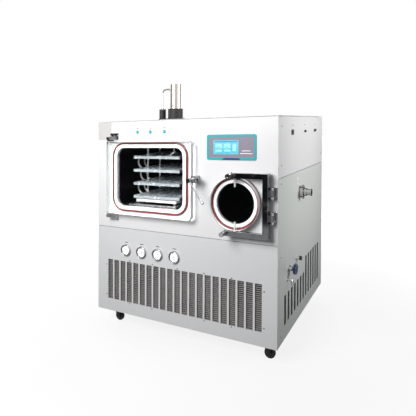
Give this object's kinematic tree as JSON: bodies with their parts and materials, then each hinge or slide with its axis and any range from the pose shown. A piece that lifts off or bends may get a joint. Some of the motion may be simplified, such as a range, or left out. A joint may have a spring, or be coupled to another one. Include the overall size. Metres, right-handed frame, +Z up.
{
  "type": "freeze dryer",
  "caption": "Wheeled pilot freeze dryer with a shelf chamber behind a clear door, a round cold trap door, touch panel, gauges, louvred grilles and a stoppering cylinder on top.",
  "frame": {"origin": "on the floor, under the middle of the outline", "axes": "+X to the machine's right as seen from the front, +Y to its back, +Z up"},
  "size_m": [1.166, 0.9812, 1.397],
  "materials": {
    "white_paint": "satin powder coat",
    "grey_paint": "satin powder coat",
    "frame_paint": "satin paint",
    "grille_grey": "satin paint",
    "stainless": "fine brushed",
    "coil_copper": "drawn tube",
    "shelf_steel": "fine brushed",
    "tray_steel": "polished",
    "polished_chrome": "polished",
    "dark_chrome": "polished",
    "hose_braid": "braided",
    "red_silicone": "satin",
    "clear_acrylic": "clear, polished",
    "white_nylon": "satin",
    "teal_plastic": "gloss",
    "lcd_glass": "lit screen",
    "green_lens": "lit lens",
    "blue_lens": "lit lens",
    "gauge_dial": "printed dial",
    "black_plastic": "satin",
    "black_socket": "satin",
    "blue_wheel": "gloss",
    "vacuum_steel": "turned",
    "valve_chrome": "satin",
    "caster_steel": "black paint",
    "caster_rubber": "matte",
    "compressor_paint": "gloss black",
    "fin_aluminium": "mill",
    "fan_metal": "satin"
  },
  "bodies": {
    "cabinet": {"base_frame": "frame_paint", "front_upper_panel": "white_paint", "front_lower_panel": "grey_paint", "right_upper_panel": "white_paint", "right_lower_panel": "grey_paint", "left_panel": "white_paint", "top_panel": "white_paint", "rear_panel": "grey_paint", "grille_inserts": "grille_grey", "chamber_body": "stainless", "chamber_gasket": "red_silicone", "door_hinge_brackets": "polished_chrome", "latch_base": "dark_chrome", "shelf_lower": "shelf_steel", "shelf_stand": "stainless", "shelf_hoses": "hose_braid", "product_tray": "tray_steel", "press_cylinder": "polished_chrome", "press_base": "black_plastic", "trap_vessel": "stainless", "trap_flange": "stainless", "trap_gasket": "red_silicone", "trap_coil": "coil_copper", "trap_hinges": "polished_chrome", "control_panel": "teal_plastic", "touch_screen": "lcd_glass", "gauge_cases": "polished_chrome", "gauge_dials": "gauge_dial", "electrical_fittings": "black_socket", "vacuum_port": "vacuum_steel", "valve_bodies": "valve_chrome", "caster_brackets": "caster_steel", "compressor": "compressor_paint", "condenser": "fin_aluminium"},
    "chamber_door": {"door_panel": "clear_acrylic", "door_hinge_leaves": "polished_chrome"},
    "clamping_dog": {"latch_dog": "polished_chrome"},
    "clamping_lever": {"latch_lever": "polished_chrome"},
    "press": {"pressure_plate": "shelf_steel", "press_ram": "polished_chrome"},
    "upper_shelf": {"shelf_upper": "shelf_steel"},
    "middle_shelf": {"shelf_middle": "shelf_steel"},
    "trap_door": {"trap_disc": "clear_acrylic", "trap_frame": "polished_chrome", "trap_clips": "white_nylon"},
    "upper_knob": {"trap_knob_top": "polished_chrome"},
    "lower_knob": {"trap_knob_bottom": "polished_chrome"},
    "green_button": {"button_green": "green_lens"},
    "middle_button": {"button_middle": "blue_lens"},
    "right_button": {"button_right": "blue_lens"},
    "rocker": {"switch_rocker": "black_plastic"},
    "drain_wheel": {"drain_handwheel": "blue_wheel"},
    "vent_valve_knob": {"vent_knob": "black_plastic"},
    "left_fork": {"caster_fork_left": "caster_steel"},
    "right_fork": {"caster_fork_right": "caster_steel"},
    "front_left_wheel": {"wheel_front_left": "caster_rubber"},
    "front_right_wheel": {"wheel_front_right": "caster_rubber"},
    "rear_left_wheel": {"wheel_rear_left": "caster_rubber"},
    "rear_right_wheel": {"wheel_rear_right": "caster_rubber"},
    "fan": {"condenser_fan": "fan_metal"}
  },
  "joints": [
    {"name": "chamber_door_hinge", "type": "hinge", "parent": "cabinet", "child": "chamber_door", "pos_m": [-0.479, -0.42725, 0.8715], "axis": [0, 0, -1], "range_deg": [0, 110]},
    {"name": "clamping_dog_turn", "type": "hinge", "parent": "cabinet", "child": "clamping_dog", "pos_m": [0.084, -0.44745, 0.876], "axis": [0, -1, 0], "range_deg": [0, 180]},
    {"name": "clamping_lever_turn", "type": "hinge", "parent": "cabinet", "child": "clamping_lever", "pos_m": [0.084, -0.47945, 0.876], "axis": [0, -1, 0], "range_deg": [-90, 90]},
    {"name": "press_slide", "type": "slide", "parent": "cabinet", "child": "press", "axis": [0, 0, -1], "range_m": [0, 0.06], "deforming": ["shelf_hoses"]},
    {"name": "upper_shelf_slide", "type": "slide", "parent": "cabinet", "child": "upper_shelf", "axis": [0, 0, -1], "range_m": [0, 0.0401]},
    {"name": "middle_shelf_slide", "type": "slide", "parent": "cabinet", "child": "middle_shelf", "axis": [0, 0, -1], "range_m": [0, 0.0201]},
    {"name": "trap_door_hinge", "type": "hinge", "parent": "cabinet", "child": "trap_door", "pos_m": [0.4977, -0.41945, 0.765], "axis": [0, 0, 1], "range_deg": [0, 120]},
    {"name": "upper_knob_turn", "type": "hinge", "parent": "trap_door", "child": "upper_knob", "pos_m": [0.2967, -0.47125, 0.904], "axis": [0, -1, 0], "range_deg": [-360, 360]},
    {"name": "lower_knob_turn", "type": "hinge", "parent": "trap_door", "child": "lower_knob", "pos_m": [0.2657, -0.47125, 0.626], "axis": [0, -1, 0], "range_deg": [-360, 360]},
    {"name": "green_button_press", "type": "slide", "parent": "cabinet", "child": "green_button", "axis": [0, 1, 0], "range_m": [0, 0.002], "stiffness_N_per_m": 400},
    {"name": "middle_button_press", "type": "slide", "parent": "cabinet", "child": "middle_button", "axis": [0, 1, 0], "range_m": [0, 0.002], "stiffness_N_per_m": 400},
    {"name": "right_button_press", "type": "slide", "parent": "cabinet", "child": "right_button", "axis": [0, 1, 0], "range_m": [0, 0.002], "stiffness_N_per_m": 400},
    {"name": "rocker_tilt", "type": "hinge", "parent": "cabinet", "child": "rocker", "pos_m": [0.514, -0.17345, 1.1], "axis": [0, 0, 1], "range_deg": [-18, 0]},
    {"name": "drain_wheel_turn", "type": "hinge", "parent": "cabinet", "child": "drain_wheel", "pos_m": [0.547, -0.21745, 0.416], "axis": [1, 0, 0], "range_deg": [0, 1080]},
    {"name": "vent_knob_turn", "type": "hinge", "parent": "cabinet", "child": "vent_valve_knob", "pos_m": [0.537, -0.08445, 0.43], "axis": [1, 0, 0], "range_deg": [0, 720]},
    {"name": "left_fork_swivel", "type": "hinge", "parent": "cabinet", "child": "left_fork", "pos_m": [-0.503, -0.31945, 0.087], "axis": [0, 0, 1], "continuous": true},
    {"name": "right_fork_swivel", "type": "hinge", "parent": "cabinet", "child": "right_fork", "pos_m": [0.437, -0.31945, 0.087], "axis": [0, 0, 1], "continuous": true},
    {"name": "front_left_wheel_roll", "type": "hinge", "parent": "left_fork", "child": "front_left_wheel", "pos_m": [-0.485, -0.31945, 0.028], "axis": [0, -1, 0], "continuous": true},
    {"name": "front_right_wheel_roll", "type": "hinge", "parent": "right_fork", "child": "front_right_wheel", "pos_m": [0.455, -0.31945, 0.028], "axis": [0, -1, 0], "continuous": true},
    {"name": "rear_left_wheel_roll", "type": "hinge", "parent": "cabinet", "child": "rear_left_wheel", "pos_m": [-0.503, 0.41055, 0.028], "axis": [1, 0, 0], "continuous": true},
    {"name": "rear_right_wheel_roll", "type": "hinge", "parent": "cabinet", "child": "rear_right_wheel", "pos_m": [0.437, 0.41055, 0.028], "axis": [1, 0, 0], "continuous": true},
    {"name": "fan_spin", "type": "hinge", "parent": "cabinet", "child": "fan", "pos_m": [0.027, -0.20545, 0.251], "axis": [0, 1, 0], "continuous": true}
  ],
  "couplings": [
    {"joint": "upper_shelf_slide", "follows": "press_slide", "ratio": 0.6667},
    {"joint": "middle_shelf_slide", "follows": "press_slide", "ratio": 0.3333}
  ]
}
